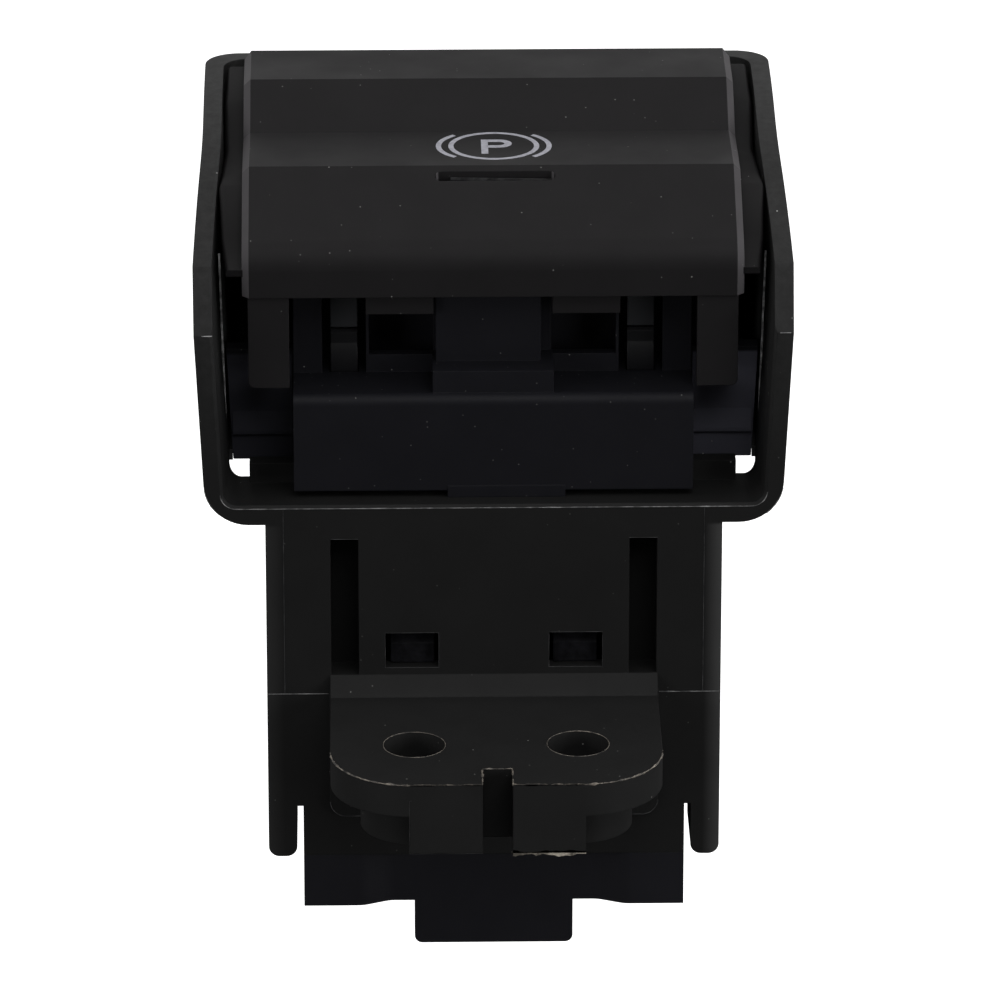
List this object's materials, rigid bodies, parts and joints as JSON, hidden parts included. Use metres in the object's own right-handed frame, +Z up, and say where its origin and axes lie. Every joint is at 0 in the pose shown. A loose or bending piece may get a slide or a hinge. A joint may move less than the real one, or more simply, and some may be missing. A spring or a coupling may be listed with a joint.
{
  "type": "electric parking brake switch",
  "caption": "Sprung parking brake paddle with a faceted, lit top in a U-shaped bezel, on a boxy body with a bolt flange and a downward connector.",
  "frame": {"origin": "midway between the two bolt holes, on the upper face of the mounting flange", "axes": "+X to the right of a person facing the paddle, +Y from the paddle's front to its back, +Z up, square to the flange"},
  "size_m": [0.0598, 0.0675, 0.0829],
  "materials": {
    "black_abs": "fine grained, moulded",
    "black_nylon": "semi matte, moulded",
    "connector_nylon": "semi matte, moulded",
    "paddle_soft_touch": "soft matte",
    "lever_nylon": "glass filled, matte",
    "slider_acetal": "satin",
    "smoked_lens": "smoked, glossy",
    "clear_guide": "clear, polished",
    "ground_steel": "ground",
    "spring_steel": "drawn, oiled",
    "zinc_steel": "zinc plated",
    "tinned_brass": "tinned",
    "phosphor_bronze": "rolled strip",
    "board_laminate": "solder mask",
    "chip_epoxy": "moulded epoxy",
    "lamp_body": "white housing",
    "ribbon_film": "polyimide film",
    "stop_rubber": "moulded"
  },
  "bodies": {
    "base": {"housing": "black_abs", "inner_frame": "black_nylon", "connector_cover": "connector_nylon", "pivot_axle": "ground_steel", "slider_spring_left": "spring_steel", "slider_spring_right": "spring_steel", "return_spring_left": "spring_steel", "return_spring_right": "spring_steel", "rubber_stop_left": "stop_rubber", "rubber_stop_right": "stop_rubber", "circuit_board": "board_laminate", "control_chip": "chip_epoxy", "board_screws": "zinc_steel", "pin_header": "connector_nylon", "contact_pins": "tinned_brass", "lamp_board": "board_laminate", "indicator_lamp": "lamp_body", "symbol_lamp": "lamp_body", "lamp_ribbon": "ribbon_film"},
    "paddle": {"paddle_cap": "paddle_soft_touch", "paddle_lever": "lever_nylon", "indicator_lens": "smoked_lens", "light_guide": "clear_guide"},
    "left_slider": {"slider_left": "slider_acetal", "contact_wiper_left": "phosphor_bronze"},
    "right_slider": {"slider_right": "slider_acetal", "contact_wiper_right": "phosphor_bronze"}
  },
  "joints": [
    {"name": "paddle_pull", "type": "hinge", "parent": "base", "child": "paddle", "pos_m": [0, 0.046, 0.044], "axis": [-1, 0, 0], "range_deg": [-4, 5], "stiffness_Nm_per_rad": 3, "deforming": ["return_spring_left", "return_spring_right"]},
    {"name": "left_slider_run", "type": "slide", "parent": "base", "child": "left_slider", "axis": [0, 0, 1], "range_m": [-0.0016, 0.002], "deforming": ["slider_spring_left"]},
    {"name": "right_slider_run", "type": "slide", "parent": "base", "child": "right_slider", "axis": [0, 0, 1], "range_m": [-0.0016, 0.002], "deforming": ["slider_spring_right"]}
  ],
  "couplings": [
    {"joint": "left_slider_run", "follows": "paddle_pull", "m_per_rad": 0.0212},
    {"joint": "right_slider_run", "follows": "paddle_pull", "m_per_rad": 0.0212}
  ]
}
